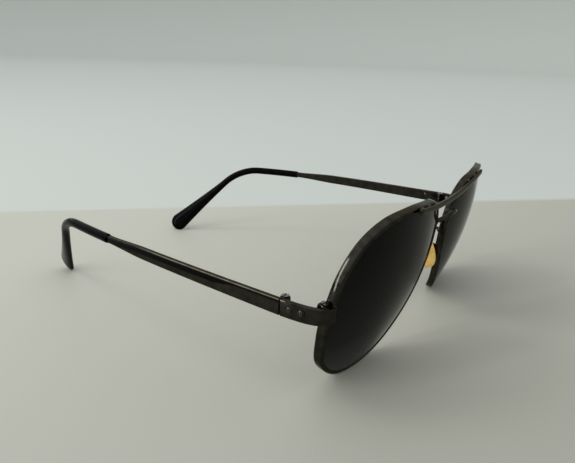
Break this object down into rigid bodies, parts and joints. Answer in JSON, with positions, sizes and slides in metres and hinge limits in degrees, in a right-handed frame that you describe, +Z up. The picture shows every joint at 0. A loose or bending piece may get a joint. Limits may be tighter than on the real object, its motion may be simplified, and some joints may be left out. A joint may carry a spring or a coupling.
{
  "type": "aviator sunglasses",
  "caption": "Metal aviator sunglasses with dark teardrop lenses, a brow bar over a wire bridge, flat enamel-inlaid temples with plastic ear tips, and amber nose pads on wire arms.",
  "frame": {"origin": "on the surface the glasses stand on, under the middle of their bounding box", "axes": "+X towards the wearer's left, -Y the way the wearer looks, +Z up; the front leans with its top forwards and the glasses stand open on both lower rims and both ear tips"},
  "size_m": [0.1386, 0.1447, 0.0492],
  "materials": {
    "frame_metal": "polished gunmetal plating with an olive tone",
    "screws": "dark plated, slotted heads",
    "lenses": "polished, deep grey tint",
    "inlays": "black enamel",
    "tips": "polished black acetate",
    "pads": "translucent amber, satin"
  },
  "bodies": {
    "front": {"rim_left": "frame_metal", "rim_right": "frame_metal", "lens_left": "lenses", "lens_right": "lenses", "brow_bar": "frame_metal", "bridge": "frame_metal", "end_piece_left": "frame_metal", "end_piece_right": "frame_metal", "closing_block_upper_left": "frame_metal", "closing_block_upper_right": "frame_metal", "closing_block_lower_left": "frame_metal", "closing_block_lower_right": "frame_metal", "closing_screw_left": "screws", "closing_screw_right": "screws", "hinge_front_left": "frame_metal", "hinge_front_right": "frame_metal", "hinge_rivets_left": "frame_metal", "hinge_rivets_right": "frame_metal", "hinge_screw_left": "screws", "hinge_screw_right": "screws", "pad_arm_left": "frame_metal", "pad_arm_right": "frame_metal", "pad_box_left": "frame_metal", "pad_box_right": "frame_metal", "pad_screw_left": "screws", "pad_screw_right": "screws"},
    "temple_left": {"hinge_temple_left": "frame_metal", "temple_left": "frame_metal", "temple_inlay_left": "inlays", "temple_tip_left": "tips"},
    "temple_right": {"hinge_temple_right": "frame_metal", "temple_right": "frame_metal", "temple_inlay_right": "inlays", "temple_tip_right": "tips"},
    "pad_left": {"pad_insert_left": "frame_metal", "nose_pad_left": "pads"},
    "pad_right": {"pad_insert_right": "frame_metal", "nose_pad_right": "pads"}
  },
  "joints": [
    {"name": "temple_left_fold", "type": "hinge", "parent": "front", "child": "temple_left", "pos_m": [0.0661, -0.04933, 0.03], "axis": [0, 0, 1], "range_deg": [0, 72]},
    {"name": "temple_right_fold", "type": "hinge", "parent": "front", "child": "temple_right", "pos_m": [-0.0661, -0.04933, 0.03], "axis": [0, 0, -1], "range_deg": [0, 58]},
    {"name": "pad_left_rock", "type": "hinge", "parent": "front", "child": "pad_left", "pos_m": [0.01091, -0.06253, 0.02358], "axis": [0.342, 0.9397, 0], "range_deg": [-8, 8]},
    {"name": "pad_right_rock", "type": "hinge", "parent": "front", "child": "pad_right", "pos_m": [-0.01091, -0.06253, 0.02358], "axis": [-0.342, 0.9397, 0], "range_deg": [-8, 8]}
  ]
}
